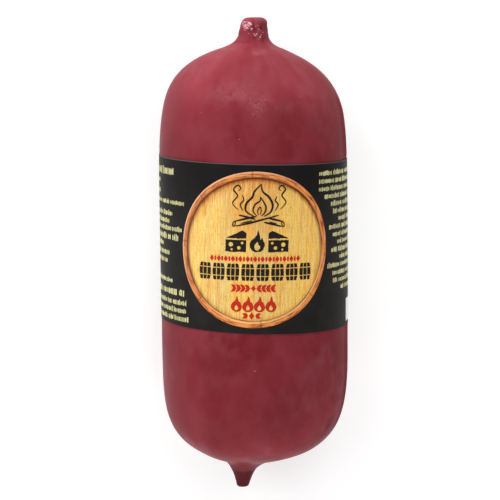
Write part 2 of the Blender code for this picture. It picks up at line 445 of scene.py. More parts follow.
def wax_finish():
    """Dark red cheese wax: mottling, bloom, scuffs, streaks of painted light and shade under the stub,
    specks, a dark tail, and painted shade on the right flank, the bottom dome's lower right, the stub's
    root crease and the scuffs' wrinkles.
    """
    wax = Finish("dark_red_wax")
    across, station, upward = wax.split(wax.spot)
    mottle = wax.noise((60, 45, 60), 4.0, 0.55)
    wax.colour = wax.mix(wax.ramp(mottle, 0.32, 0.68), WAX_DEEP, WAX_LIGHT)
    cloud = wax.noise((170, 120, 170), 4.0, 0.6, seed=4.0)
    wax.lay(WAX_BLOOM_AND_HIGHLIGHT, cloud, 0.35, 0.65, 0.0, 0.06)
    wax.lay(WAX_FLANK, across, *FLANK_X, 0.0, 0.35)
    clotted = wax.ramp(cloud, 0.35, 0.6, 0.4, 1.0)
    stray = wax.vector("SUBTRACT", wax.noise((230, 180, 230), 3.0, output="Color"), (0.5, 0.5, 0.5))
    for patch, *where in WAX_PATCHES:
        wax.lay(patch, wax.times(near_patch(wax, stray, *where), clotted))
    # Painted shade: a dark red line in the crease round the stub's root.
    crease_shade = wax.ramp(wax.off(station, SHADED_CREASE_Y), 0.0001, 0.0008, 0.7, 0.0)
    wax.lay(WAX_RED, wax.times(crease_shade, wax.ramp(across, 0.0, 0.003, 1.0, 0.0)))
    aside = wax.add("CombineXYZ", {0: across, 2: wax.math("SUBTRACT", upward, AXIS_HEIGHT)})
    aside = wax.vector("NORMALIZE", aside.outputs[0])
    # Painted highlight and shade: streaks that stand for small ridges of the gathered casing, radiating
    # from the stub.
    along_it = wax.add("CombineXYZ", {1: wax.times(station, 40.0)}).outputs[0]
    streaks = wax.noise(wax.vector("MULTIPLY_ADD", aside, (3.8, 3.8, 3.8), along_it), seed=6.0)
    fading = wax.ramp(station, *RIDGE_SHADING_Y)
    wax.lay(WAX_BLOOM_AND_HIGHLIGHT, wax.times(fading, wax.ramp(streaks, 0.48, 0.7, 0.0, 0.08)))
    wax.lay(WAX_RED, wax.times(fading, wax.ramp(streaks, 0.52, 0.3, 0.0, 0.35)))
    folds = wax.noise((560, 430, 560), 4.0, 0.6, seed=9.0)
    line = wax.ramp(wax.off(folds, 0.5), 0.0, 0.05, 1.0, 0.0)
    scuffed = 0.0
    for where in SCUFF_PATCHES:
        scuffed = wax.math("MAXIMUM", scuffed, near_patch(wax, stray, *where))
    broken = wax.ramp(wax.noise((330, 330, 330), 3.0, seed=12.0), 0.45, 0.62)
    scuffs = wax.times(scuffed, broken)
    wax.lay(WAX_BLOOM_AND_HIGHLIGHT, wax.times(scuffed, wax.ramp(folds, 0.42, 0.6, 0.0, 0.2)))
    pale = wax.mix(wax.ramp(station, *CRACKLE_Y), WAX_SCUFF, WAX_CRACKLE)
    wax.lay(pale, wax.times(scuffs, line))
    # Painted shade in the scuffs' wrinkles, beside the pale lines.
    wax.lay(WAX_PAINTED_SHADE, wax.times(scuffs, wax.ramp(folds, 0.44, 0.36, 0.0, 0.9)))
    wax.lay(WAX_SPECK, wax.specks(300, 0.75, 0.035, 0.06, 0.7))
    wax.lay(WAX_TAIL_ROOT, station, *TAIL_ROOT_Y, 0.8, 0.0)
    wax.lay(WAX_TAIL_TIP, station, *TAIL_TIP_Y, 0.9, 0.0)
    wax.connect("Roughness", wax.ramp(cloud, 0.3, 0.8, 0.36, 0.52))
    flank = wax.ramp(wax.split(aside)["X"], 0.91, 0.98)
    dull = wax.times(flank, *[wax.ramp(station, *fade) for fade in DULL_FADES])
    wax.connect("Specular IOR Level", wax.ramp(dull, 0.0, 1.0, WAX_GLOSS, WAX_DULL))
    soft = wax.bump(wax.noise((190, 190, 190), 4.0, seed=7.0), 0.0002, 0.4)
    soft = wax.bump(wax.times(scuffs, folds), 0.0003, 0.6, under=soft)
    grain = wax.noise((1400, 1400, 1400), 3.0, seed=2.0)
    wax.connect("Normal", wax.bump(grain, 0.00002, 0.35, under=soft))
    return wax.painted()


wax_coat = piece_from("wax_coat", wax_sheet(), wax_finish(), sharp=60)
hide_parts("waxed_cheese")


# Flakes on the stub. Where the gathered casing bends, the wax has cracked into small pale
# flakes, most of them on the upper left of its front, with a trail down to the right.
FLAKE_COUNT = 105
FLAKE_SIZE = (0.00007, 0.0002)
FLAKE_HEIGHT = 0.00005
FLAKE_LENGTHS = (0.6, 1.5)  # stretched along, across and at each corner by a factor from these
FLAKE_WIDTHS = (0.7, 1.2)
FLAKE_CORNERS = (0.7, 1.2)
FLAKE_WHITE = rgb(244, 204, 212)
FLAKE_PINK = rgb(214, 136, 152)
FLAKE_CLUSTERS = (          # station from the widest one, turn in degrees, spread of each, share
    (0.0638, -56, 0.00035, 7, 0.15),
    (0.0632, -37, 0.00040, 7, 0.27),
    (0.0625, -29, 0.00030, 5, 0.20),
    (0.0636, -19, 0.00030, 5, 0.14),
    (0.0620, -44, 0.00020, 4, 0.05),
    (0.0621, -8, 0.00015, 3, 0.03),
    (0.0609, -18, 0.00012, 2, 0.03),
    (0.0607, 7, 0.00022, 4, 0.06),
    (0.0602, 27, 0.00035, 2, 0.04),
    (0.0611, 42, 0.00015, 3, 0.02),
)


def stub_flakes():
    """Small irregular flakes laid on the stub's skin round a few clusters."""
    rng = random.Random(11)
    flakes = bmesh.new()
    weights = [cluster[4] for cluster in FLAKE_CLUSTERS]
    for _ in range(FLAKE_COUNT):
        station, degrees, spread, sweep, _share = rng.choices(FLAKE_CLUSTERS, weights)[0]
        y = WIDEST_Y + station + rng.gauss(0, spread)
        y = min(y, WIDEST_Y + TOP.tip - TOP.corner * 0.6)       # none past the tip's rounding
        turn = math.radians(degrees + rng.gauss(0, sweep))
        size = rng.uniform(*FLAKE_SIZE)
        flake = bmesh.ops.create_circle(flakes, cap_ends=True, segments=rng.choice((5, 6, 7)), radius=size)
        middle = skin_point(y, turn, 0.0)
        out = Vector((math.sin(turn), 0.1, math.cos(turn))).normalized()
        stretch = Matrix.Diagonal((rng.uniform(*FLAKE_LENGTHS), rng.uniform(*FLAKE_WIDTHS), 1, 1))
        spin = Matrix.Rotation(rng.uniform(0, math.tau), 4, "Z")
        upright = out.to_track_quat("Z", "Y").to_matrix().to_4x4()
        lay = Matrix.Translation(middle) @ upright @ spin @ stretch
        for vertex in flake["verts"]:
            vertex.co = lay @ (vertex.co * rng.uniform(*FLAKE_CORNERS))
    bmesh.ops.recalc_face_normals(flakes, faces=flakes.faces)
    bmesh.ops.solidify(flakes, geom=flakes.faces[:], thickness=-FLAKE_HEIGHT)
    bmesh.ops.recalc_face_normals(flakes, faces=flakes.faces)
    return flakes


def flake_finish():
    """Dry cracked wax, from off-white to pale pink."""
    flake = Finish("pale_wax_flakes", 0.6)
    flake.colour = FLAKE_WHITE
    flake.lay(FLAKE_PINK, flake.noise((900, 900, 900), 1.0), 0.35, 0.65)
    return flake.painted()


wax_flakes = piece_from("wax_flakes", stub_flakes(), flake_finish())


# The label. A strip of satin black printed paper, wrapped a little askew round the middle of
# the loaf and glued where its ends overlap behind. Its cut edges show a thin line of grey.
PAPER_BASE = 0.00002        # heights are above the wax
PAPER_FACE = 0.00009
PRINT_TOP = PAPER_FACE + 0.0001     # nothing printed stands higher than this
FLOOR_CLEARANCE = 0.00005   # the flat underside of the label clears the table by this
SEAM_TURN = math.radians(-158)
SEAM_OVERLAP = math.radians(7)
SEAM_RAMP = math.radians(-4)        # the paper starts to rise this much before the overlap
PAPER_COLUMNS = 240
PAPER_ROWS = 30
CM = 100.0                  # the flat map is in centimetres
PAPER_BLACK = rgb(35, 33, 32)
PAPER_WORN = rgb(41, 39, 38)
PAPER_DEEP = rgb(18, 17, 18)        # towards the top edge
PAPER_DUST = rgb(120, 118, 112)
PAPER_CUT = rgb(128, 122, 118)


def laid_point(y, turn, height):
    """A point above the wax, kept clear of the table where the loaf lies on it."""
    point = skin_point(y, turn, height)
    point.z = max(point.z, FLOOR_CLEARANCE + PRINT_TOP - height)
    return point


def paper_point(turn, share, height):
    """A point of the label: turn round the loaf, share from its bottom edge to its top edge."""
    across = LOAF_RADIUS * math.sin(turn)
    low = LABEL_BOTTOM_Y - LABEL_BOTTOM_SKEW * across
    high = LABEL_TOP_Y - LABEL_TOP_SKEW * across
    return laid_point(low + (high - low) * share, turn, height)


def thicken(sheet):
    """Extrude a flat sheet where it is, and give its upper corners."""
    geometry = bmesh.ops.extrude_face_region(sheet, geom=sheet.faces[:])["geom"]
    return {item for item in geometry if isinstance(item, bmesh.types.BMVert)}


def paper_turn(share):
    """Turn round the loaf, at a share of the strip's length from its first end."""
    return SEAM_TURN + (math.tau + SEAM_OVERLAP) * share


def label_sheet():
    """The paper: a flat grid wrapped round, its last part lifted over its first."""
    sheet = bmesh.new()
    bmesh.ops.create_grid(sheet, x_segments=PAPER_COLUMNS, y_segments=PAPER_ROWS, size=0.5)
    flat_map = sheet.loops.layers.uv.new("flat")
    height_cm = (LABEL_TOP_Y - LABEL_BOTTOM_Y) * CM
    for face in sheet.faces:
        for loop in face.loops:
            x, y, _ = loop.vert.co
            loop[flat_map].uv = (paper_turn(x + 0.5) * LOAF_RADIUS * CM, y * height_cm)
    upper = thicken(sheet)
    for vertex in sheet.verts:
        turn = paper_turn(vertex.co.x + 0.5)
        over = turn - (SEAM_TURN + math.tau)
        lift = (PAPER_FACE - PAPER_BASE) * smooth_step(over, SEAM_RAMP, 0)
        height = PAPER_FACE if vertex in upper else PAPER_BASE
        vertex.co = paper_point(turn, vertex.co.y + 0.5, height + lift)
    bmesh.ops.recalc_face_normals(sheet, faces=sheet.faces)
    return sheet


def label_finish():
    """Satin black print: faint scuffs and dust, and a grey line where the paper is cut."""
    paper = Finish("black_label_paper", flat_map="flat", Specular_IOR_Level=0.03)
    upward = paper.split(paper.spot)["Y"]
    scuff = paper.noise((1.6, 1.6, 1.6), 4.0)
    paper.colour = paper.mix(paper.ramp(scuff, 0.4, 0.75), PAPER_BLACK, PAPER_WORN)
    paper.lay(PAPER_DEEP, upward, 0.5, 2.2, 0.0, 0.5)
    paper.lay(PAPER_DUST, paper.specks(1.6, 0.6, 0.015, 0.035, 0.6))
    edge = (LABEL_TOP_Y - LABEL_BOTTOM_Y) / 2 * CM
    paper.lay(PAPER_CUT, upward, edge - 0.028, edge - 0.012, 0.0, 0.45)
    paper.connect("Roughness", paper.ramp(scuff, 0.3, 0.8, 0.42, 0.55))
    slack = paper.bump(paper.noise((0.9, 2.2, 1.0), seed=3.0), 0.0004, 0.5)
    fibre = paper.noise((30, 30, 30), 3.0)
    paper.connect("Normal", paper.bump(fibre, 0.00001, 0.5, under=slack))
    return paper.painted()


label_paper = piece_from("label_paper", label_sheet(), label_finish(), sharp=60)
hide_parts("label")


# The barrel head. The front of the label is printed with the round wooden head of a cask: pale
# golden boards with upright grain. It is ink on the paper, a hair thicker than the black.
HEAD_PLACE = (0.00014, 0.00498)     # its middle: round the wrapped paper, and along the loaf
HEAD_WIDE = 0.02206                 # half of its width and of its height, out to the rim's edge
HEAD_TALL = 0.02147
HEAD_SIDES = 160
RIM_WIDTH = 0.002
PRINT_TILT = math.tan(math.radians(1.25))
PRINT_LEAN = 0.034          # its upright lines lean this much towards +X going up
SLICE_ROUND = 0.8 * MM      # a print is cut this fine before it is wrapped
SLICE_ALONG = 4 * MM
HEAD_BASE = PAPER_FACE - 0.00004
HEAD_FACE = PAPER_FACE + 0.00003


def print_point(u, v, height):
    """A point of the flat print, u across and v up from the barrel head's middle, once wrapped."""
    turn = (u + PRINT_LEAN * v + HEAD_PLACE[0]) / LOAF_RADIUS
    y = HEAD_PLACE[1] + v - PRINT_TILT * LOAF_RADIUS * math.sin(turn)
    return laid_point(y, turn, height)


def slice_up(flat):
    """Cut a flat print along both ways, so that it bends with the loaf."""
    for axis, pitch in ((0, SLICE_ROUND), (1, SLICE_ALONG)):
        low = min(vertex.co[axis] for vertex in flat.verts)
        high = max(vertex.co[axis] for vertex in flat.verts)
        normal = Vector((1 - axis, axis, 0))
        for index in range(1, math.ceil((high - low) / pitch)):
            everything = flat.verts[:] + flat.edges[:] + flat.faces[:]
            bmesh.ops.bisect_plane(flat, geom=everything, dist=SAME_PLACE, plane_no=normal,
                                   plane_co=normal * (low + pitch * index))


def wrap_print(flat, base, face):
    """Give a flat print its thickness, keep its flat map and wrap it on the label."""
    flat_map = flat.loops.layers.uv.new("flat")
    for side in flat.faces:
        for loop in side.loops:
            loop[flat_map].uv = loop.vert.co.xy * CM
    upper = thicken(flat)
    for vertex in flat.verts:
        u, v, lift = vertex.co
        vertex.co = print_point(u, v, face + lift if vertex in upper else base)
    bmesh.ops.recalc_face_normals(flat, faces=flat.faces)
    return flat


def head_boards():
    """The boards: a flat oval that runs in under the rim."""
    boards = bmesh.new()
    bmesh.ops.create_circle(boards, cap_ends=True, segments=HEAD_SIDES, radius=1)
    reach = RIM_WIDTH * 0.9     # a little way under the rim
    bmesh.ops.scale(boards, verts=boards.verts, vec=(HEAD_WIDE - reach, HEAD_TALL - reach, 1))
    slice_up(boards)
    return wrap_print(boards, HEAD_BASE, HEAD_FACE)


class OvalPlace(NamedTuple):
    """Where a point of the print lies in the barrel head's oval, as shader outputs."""
    outward: bpy.types.NodeSocket       # 0 in the middle, 1 at the rim's outer edge
    angle: bpy.types.NodeSocket         # in radians, 0 to the right
    facing: bpy.types.NodeSocket        # towards the printed light, at the upper left


def oval_place(finish, light):
    """Nodes that give a print's place in the barrel head's oval, from its flat map."""
    oval = finish.vector("MULTIPLY", finish.spot, (1 / (HEAD_WIDE * CM), 1 / (HEAD_TALL * CM), 0.0))
    across, upward, _ = finish.split(oval)
    return OvalPlace(outward=finish.vector("LENGTH", oval),
                     angle=finish.math("ARCTAN2", upward, across),
                     facing=finish.vector("DOT_PRODUCT", oval, light))


PRINTED_LIGHT = (-0.4, 0.92, 0.0)
BOARD_PALE = rgb(224, 196, 114)
BOARD_DEEP = rgb(252, 204, 96)
BOARD_STREAK = rgb(218, 138, 54)
BOARD_GLEAM = rgb(242, 228, 160)
BOARD_FLECK = rgb(140, 88, 36)
BOARD_GLOW = rgb(204, 118, 44)
BOARD_SHADE = rgb(120, 60, 20)
BROWNER_WOOD = (            # middle and reach on the flat map, share
    ((-0.15, 1.2), (0.95, 1.5), 0.6),
    ((0.1, 1.5), (1.6, 1.0), 0.2),
)


def board_finish():
    """Golden boards: broad tones, upright streaks and flecks, and the rim's painted shade."""
    wood = Finish("barrel_head_boards", flat_map="flat", Specular_IOR_Level=0.2)
    tones = wood.noise((1.5, 0.06, 1.0), seed=1.3)
    tone = wood.math("ADD", wood.ramp(wood.split(wood.spot)["X"], -1.3, 1.0, 0.2, 0.8),
                     wood.ramp(tones, 0.34, 0.64, -0.4, 0.4))
    wood.colour = wood.mix(wood.ramp(tone, 0.0, 1.0), BOARD_PALE, BOARD_DEEP)
    for middle, reach, strength in BROWNER_WOOD:
        off = wood.vector("DIVIDE", wood.vector("SUBTRACT", wood.spot, (*middle, 0)), (*reach, 1))
        wood.lay(BOARD_STREAK, wood.vector("LENGTH", off), 0.2, 1.0, strength, 0.0)
    streaks = wood.noise((15.0, 0.5, 1.0), 4.0, 0.6, seed=5.0)
    wood.lay(BOARD_STREAK, streaks, 0.5, 0.68, 0.0, 0.7)
    wood.lay(BOARD_GLEAM, wood.noise((26.0, 1.0, 1.0), 3.0, 0.6, seed=8.0), 0.5, 0.66, 0.0, 0.55)
    fine = wood.noise((48.0, 2.5, 1.0), seed=3.0)
    wood.lay(BOARD_STREAK, fine, 0.48, 0.66, 0.0, 0.65)
    wood.lay(BOARD_FLECK, wood.noise((48.0, 9.0, 1.0), seed=2.0), 0.57, 0.74, 0.0, 0.6)
    grain = wood.noise((44.0, 34.0, 1.0), 1.0, seed=11.0)
    wood.lay(BOARD_STREAK, grain, 0.5, 0.75, 0.0, 0.4)
    wood.lay(BOARD_GLEAM, grain, 0.5, 0.25, 0.0, 0.4)
    oval = oval_place(wood, PRINTED_LIGHT)
    inner_edge = 1 - RIM_WIDTH / HEAD_WIDE
    streaky = wood.math("ADD", oval.outward, wood.ramp(fine, 0.3, 0.7, -0.05, 0.05))
    glow = wood.ramp(streaky, inner_edge - 0.15, inner_edge - 0.02, 0.0, 0.75)
    wood.lay(BOARD_GLOW, wood.times(glow, wood.ramp(oval.facing, 0.3, 0.95, 0.1, 1.0)))
    ragged = wood.math("ADD", oval.outward, wood.ramp(streaks, 0.3, 0.7, -0.012, 0.012))
    shade = wood.ramp(ragged, inner_edge - 0.055, inner_edge + 0.01, 0.0, 0.95)
    wood.lay(BOARD_SHADE, wood.times(shade, wood.ramp(oval.facing, -1.0, 0.3, 0.3, 1.0)))
    wood.connect("Roughness", wood.ramp(streaks, 0.3, 0.7, 0.42, 0.5))
    return wood.painted()


barrel_head = piece_from("barrel_head", head_boards(), board_finish())


# The barrel's rim. The print shows the ends of the staves round the head: a narrow ring of
# red-brown wood with a few joints, lit from the upper left and dark along its inner edge.
RIM_FACE = PAPER_FACE + 0.00005
RIM_SIDES = 200
STAVE_PALE = rgb(208, 130, 70)
STAVE_BRIGHT = rgb(238, 149, 78)
STAVE_DEEP = rgb(148, 66, 28)
STAVE_LIT = rgb(232, 184, 152)
STAVE_BEVEL = rgb(242, 192, 128)
STAVE_DARK = rgb(82, 36, 14)
OUTER_LIGHT = (-0.74, 0.67, 0.0)    # the outer edge catches the printed light further round
STAVE_JOINTS = (93, 41, -38, -84, -137, 176, 137)   # degrees round, 0 to the right
BEVEL_PLACE = 0.27          # share of the rim's width, from inside


def rim_ring():
    """The ring: two ovals, bridged."""
    ring = bmesh.new()
    for reach in (RIM_WIDTH, 0.0):
        oval = bmesh.ops.create_circle(ring, segments=RIM_SIDES, radius=1)["verts"]
        bmesh.ops.scale(ring, verts=oval, vec=(HEAD_WIDE - reach, HEAD_TALL - reach, 1))
    bmesh.ops.bridge_loops(ring, edges=ring.edges[:])
    slice_up(ring)
    return wrap_print(ring, HEAD_BASE, RIM_FACE)


def stave_finish():
    """Orange-brown staves: streaks round the ring, joints, a dark inner edge, a lit bevel and edge."""
    wood = Finish("barrel_rim_staves", 0.45, "flat", Specular_IOR_Level=0.2)
    oval = oval_place(wood, PRINTED_LIGHT)
    outer_facing = oval_place(wood, OUTER_LIGHT).facing
    across = wood.add("MapRange", {"Value": oval.outward, "From Min": 1 - RIM_WIDTH / HEAD_WIDE}).outputs[0]
    bent = wood.add("CombineXYZ", {0: wood.times(oval.angle, 5.0), 1: wood.times(oval.outward, 44.0)})
    bent = bent.outputs[0]
    streaks = wood.noise(bent, 3.0, 0.65)
    pale = wood.mix(wood.ramp(wood.math("COSINE", oval.angle), -0.95, -0.3), STAVE_PALE, STAVE_BRIGHT)
    wood.colour = wood.mix(wood.ramp(streaks, 0.34, 0.6), STAVE_DEEP, pale)
    sheen = wood.noise(wood.vector("MULTIPLY", bent, (2.4, 2.4, 0)))
    wood.lay(STAVE_BEVEL, sheen, 0.52, 0.72, 0.0, 0.3)
    bevel = wood.ramp(wood.off(across, BEVEL_PLACE), 0.06, 0.18, 0.9, 0.0)
    wood.lay(STAVE_BEVEL, wood.times(bevel, wood.ramp(oval.facing, -0.2, -0.8),
                                     wood.ramp(sheen, 0.3, 0.55, 0.6, 1.0)))
    lit = wood.ramp(across, 0.76, 0.92)
    wood.lay(STAVE_LIT, wood.times(lit, wood.ramp(outer_facing, 0.0, 0.75, 0.0, 0.9)))
    inside = wood.ramp(across, 0.08, wood.ramp(oval.facing, -0.6, 0.4, 0.2, 0.42), 1.0, 0.0)
    wood.lay(STAVE_DARK, wood.times(inside, wood.ramp(oval.facing, -1.0, 0.3, 0.35, 0.95)))
    for degrees in STAVE_JOINTS:
        wood.lay(STAVE_DARK, wood.off(oval.angle, math.radians(degrees)), 0.003, 0.012, 0.5, 0.0)
    return wood.painted()


barrel_rim = piece_from("barrel_rim", rim_ring(), stave_finish())


# The drawing on the barrel head. A smoke fire in black brush strokes: two crossed logs, flames
# over them and curls of smoke at both sides, printed on the upper boards.
INK_BASE = PAPER_FACE
INK_FACE = PAPER_FACE + 0.00006
STROKE_STEP = 0.000002      # each stroke lies this much over the one before it
STROKE_THIN = 0.3           # width of a stroke's ends, as a share of its middle's
FIRE_PLACE = (0.9, 12.2)    # print places and drawings are in millimetres
BLACK_INK = (rgb(24, 21, 18), rgb(52, 40, 28))      # fresh and worn
FIRE_STROKES = (            # width, then the corners that the stroke runs smoothly through
    (0.62, (-1.3, -2.9), (-3.5, -1.5), (-3.4, 0.6), (-1.9, 2.3), (-1.3, 3.9), (0.5, 5.9)),
    (0.62, (0.5, 5.9), (0.9, 3.9), (2.6, 2.4), (3.7, 0.3), (3.2, -1.7), (1.4, -2.9)),
    (0.46, (-0.5, -2.8), (-1.6, -1.4), (-1.1, 0.3), (0.2, 1.3), (0.3, 2.5)),
    (0.46, (0.3, 2.5), (1.1, 1.2), (1.9, -0.4), (1.5, -2.0), (0.6, -2.8)),
    (0.34, (0.0, -2.6), (-0.4, -1.5), (0.3, -0.4), (0.6, -1.4), (0.3, -2.4)),
    (0.40, (-4.3, -1.4), (-5.1, 0.2), (-4.2, 1.5), (-4.6, 2.9)),
    (0.40, (4.4, -1.4), (5.2, 0.3), (4.4, 1.4), (4.9, 2.6)),
    (0.42, (-5.6, -1.2), (-7.2, 0.6), (-5.9, 2.6), (-7.0, 4.3), (-5.9, 5.5), (-5.0, 4.7), (-5.7, 4.0)),
    (0.42, (5.9, -1.0), (7.4, 0.9), (6.2, 2.8), (7.2, 4.4), (6.1, 5.5), (5.3, 4.6), (6.0, 4.1)),
    (0.55, (-6.4, -5.7), (-3.0, -4.9), (0.6, -3.9), (5.5, -2.6)),
    (0.55, (-6.8, -4.4), (-3.2, -3.5), (-0.6, -2.9)),
    (0.55, (6.4, -5.7), (3.2, -4.9), (1.4, -4.5)),
    (0.55, (6.8, -4.4), (4.4, -3.8), (2.6, -3.4)),
    (0.55, (-0.9, -3.7), (-2.8, -3.2), (-5.5, -2.6)),
    (0.34, (-4.9, -4.9), (-3.4, -4.5), (-1.8, -4.1)),
    (0.34, (4.9, -4.9), (3.9, -4.7), (3.0, -4.4)),
)
LOG_ENDS = ((-6.7, -5.05, -14), (6.7, -5.05, 14))       # place, and lean in degrees
LOG_END_OVALS = ((0.5, 0.85), (0.2, 0.5))


def smooth_path(corners, closed=False, steps=8):
    """Points of a smooth line that runs through its corners."""
    corners = [Vector((*corner, 0.0)) for corner in corners]
    around = [corners[-1]] + corners + corners[:2] if closed else corners[:1] + corners + corners[-1:]
    path = []
    for before, start, end, after in zip(around, around[1:], around[2:], around[3:]):
        path += interpolate_bezier(start, start + (end - before) / 6, end - (after - start) / 6,
                                   end, steps + 1)[:-1]
    return path if closed else path + [corners[-1]]


def brush_stroke(drawing, place, width, corners, lift):
    """A stroke along a smooth line, full in its middle and thin at its ends."""
    path = smooth_path(corners)
    sides = ([], [])
    for index, point in enumerate(path):
        heading = (path[min(index + 1, len(path) - 1)] - path[max(index - 1, 0)]).normalized()
        fullness = math.sin(math.pi * index / (len(path) - 1))
        half = width / 2 * (STROKE_THIN + (1 - STROKE_THIN) * fullness ** 0.7)
        aside = Vector((-heading.y, heading.x, 0)) * half
        for side, sign in zip(sides, (1, -1)):
            corner = (Vector((*place, 0)) + point + aside * sign) * MM
            side.append(drawing.verts.new((corner.x, corner.y, lift)))
    edges = [drawing.edges.new(pair) for side in sides for pair in zip(side, side[1:])]
    bmesh.ops.bridge_loops(drawing, edges=edges)


def oval_outline(across, upward, lean=0.0, sides=20, middle=(0.0, 0.0)):
    """Outline of an oval with half sizes across and upward."""
    turn = Matrix.Rotation(math.radians(lean), 3, "Z")
    return [turn @ Vector((across * math.cos(a), upward * math.sin(a), 0)) + Vector((*middle, 0))
            for a in (math.tau * index / sides for index in range(sides))]


def fill_ink(flat, place, *outlines, lift=0.0):
    """Fill outlines in millimetres about a place of the print; one inside another is a hole."""
    edges = []
    for outline in outlines:
        corners = [flat.verts.new(((place[0] + point[0]) * MM, (place[1] + point[1]) * MM, lift))
                   for point in outline]
        edges += [flat.edges.new(pair) for pair in zip(corners, corners[1:] + corners[:1])]
    bmesh.ops.triangle_fill(flat, edges=edges, use_beauty=True)


def fire_drawing():
    """The strokes, and the logs' ends as small ovals."""
    drawing = bmesh.new()
    for index, (width, *corners) in enumerate(FIRE_STROKES):
        brush_stroke(drawing, FIRE_PLACE, width, corners, STROKE_STEP * index)
    for index, (u, v, lean) in enumerate(LOG_ENDS, len(FIRE_STROKES)):
        place = (FIRE_PLACE[0] + u, FIRE_PLACE[1] + v)
        ovals = [oval_outline(*sizes, lean) for sizes in LOG_END_OVALS]
        fill_ink(drawing, place, *ovals, lift=STROKE_STEP * index)
    slice_up(drawing)
    return wrap_print(drawing, INK_BASE, INK_FACE)


def ink_finish(name, fresh, worn_through):
    """Satin printing ink, a little uneven, that lets a trace of what it lies on through."""
    ink = Finish(name, 0.45, "flat", Specular_IOR_Level=0.2)
    ink.colour = fresh
    ink.lay(worn_through, ink.noise((22, 22, 22), 3.0), 0.42, 0.7, 0.0, 0.6)
    return ink.painted()


black_ink = ink_finish("black_ink", *BLACK_INK)
fire_print = piece_from("fire_drawing", fire_drawing(), black_ink)


# The two stencilled lines across the boards. The upper one is a flame between two wedges of
# cheese, the lower one a row of casks, in black ink with the narrow bridges of a stencil.
STENCIL_PLACE = (0.65, 2.45)
WEDGE_OFFSET = 5.85
WEDGE_TOP = ((-2.85, 0.75), (1.9, 2.95), (2.85, 2.1), (2.85, 0.75))
WEDGE_FRONT = ((-2.85, 0.3), (2.85, 0.3), (2.85, -2.95), (-2.85, -2.95))
WEDGE_HOLES = ((-1.35, -0.95, 0.62), (0.85, -1.85, 0.5), (1.75, -0.5, 0.36), (-1.1, -2.3, 0.3))
FLAME_CORNERS = ((0.15, 3.1), (-0.3, 1.5), (-1.55, 0.35), (-2.1, -1.1), (-1.45, -2.5), (0.0, -3.0),
                 (1.45, -2.5), (2.1, -1.2), (1.75, 0.1), (1.2, 1.0), (0.95, 0.35), (0.65, 1.7))
FLAME_HEART = ((0.05, -0.1), (-0.75, -1.2), (-0.6, -2.2), (0.1, -2.5), (0.8, -2.0), (0.7, -1.2),
               (0.35, -0.9))
STENCIL_FLAME_SCALE = 0.98
CASK_ROW_PLACE = (0.3, -6.1)
CASK_COUNT = 8
CASK_PITCH = 4.08
CASK_HALF_WIDTH = 1.78
CASK_HALF_HEIGHT = 2.3
CASK_BULGE = 0.36           # how far its sides swell out, past its ends
CASK_BRIDGE = 0.2
CASK_STEPS = 4              # its swelling sides are drawn in this many steps
CASK_ROWS = ((1.0, 0.52), (0.42, -0.42), (-0.52, -1.0))        # shares of the half height
CASK_COLUMNS = ((-1.0, -0.36), (-0.36, 0.36), (0.36, 1.0))
WORN_STEP = 0.22            # the stencils' edges are worn, with a nick or a bump about this often
WORN_FINENESS = 2.2
WORN_ASIDE = Vector((0, 0, 7.5))    # a second noise, for the nicks' other direction
WORN_DEPTH = 0.15
CASK_WORN_DEPTH = 0.09


def flame_outlines(scale):
    """A flame with a lighter heart, as two outlines."""
    return [[point * scale for point in smooth_path(corners, closed=True, steps=5)]
            for corners in (FLAME_CORNERS, FLAME_HEART)]


def cask_patch(left, right, top, bottom):
    """One painted patch of a cask between the bridges: straight ends and swelling sides."""
    rows = [top + (bottom - top) * step / CASK_STEPS for step in range(CASK_STEPS + 1)]
    sides = []
    for share, inward in ((left, 1), (right, -1)):
        bridge = inward * CASK_BRIDGE / 2 if abs(share) < 1 else 0.0
        sides.append([(share * (CASK_HALF_WIDTH - CASK_BULGE * row ** 2) + bridge, row * CASK_HALF_HEIGHT)
                      for row in rows])
    return sides[0] + sides[1][::-1]


def mirrored(outline, side):
    """An outline as it is, or turned over where side is -1."""
    return [(side * point[0], point[1]) for point in outline]


def row_places(middle, count, pitch):
    """Places of a row of like marks."""
    return [(middle[0] + pitch * (index - (count - 1) / 2), middle[1]) for index in range(count)]


def worn(outline, place, depth=WORN_DEPTH):
    """An outline with the small nicks and bumps of a worn stencil."""
    rough = []
    corners = [Vector((point[0], point[1], 0)) for point in outline]
    for start, end in zip(corners, corners[1:] + corners[:1]):
        count = max(round((end - start).length / WORN_STEP), 1)
        for step in range(count):
            point = start.lerp(end, step / count)
            spot = (point + Vector((*place, 0))) * WORN_FINENESS
            nick = Vector((noise.noise(spot), noise.noise(spot + WORN_ASIDE), 0))
            rough.append(point + nick * depth)
    return rough


def stencil_lines():
    """Both stencilled lines in one flat print."""
    lines = bmesh.new()
    for side in (-1, 1):
        place = (STENCIL_PLACE[0] + side * WEDGE_OFFSET, STENCIL_PLACE[1])
        holes = [mirrored(oval_outline(r, r, middle=(x, y)), -side) for x, y, r in WEDGE_HOLES]
        fill_ink(lines, place, worn(mirrored(WEDGE_TOP, -side), place))
        fill_ink(lines, place, worn(mirrored(WEDGE_FRONT, -side), place), *holes)
    flame = [worn(outline, STENCIL_PLACE) for outline in flame_outlines(STENCIL_FLAME_SCALE)]
    fill_ink(lines, STENCIL_PLACE, *flame)
    for place in row_places(CASK_ROW_PLACE, CASK_COUNT, CASK_PITCH):
        for top, bottom in CASK_ROWS:
            for left, right in CASK_COLUMNS:
                patch = cask_patch(left, right, top, bottom)
                fill_ink(lines, place, worn(patch, place, CASK_WORN_DEPTH))
    slice_up(lines)
    return wrap_print(lines, INK_BASE, INK_FACE)


stencil_print = piece_from("stencil_lines", stencil_lines(), black_ink)


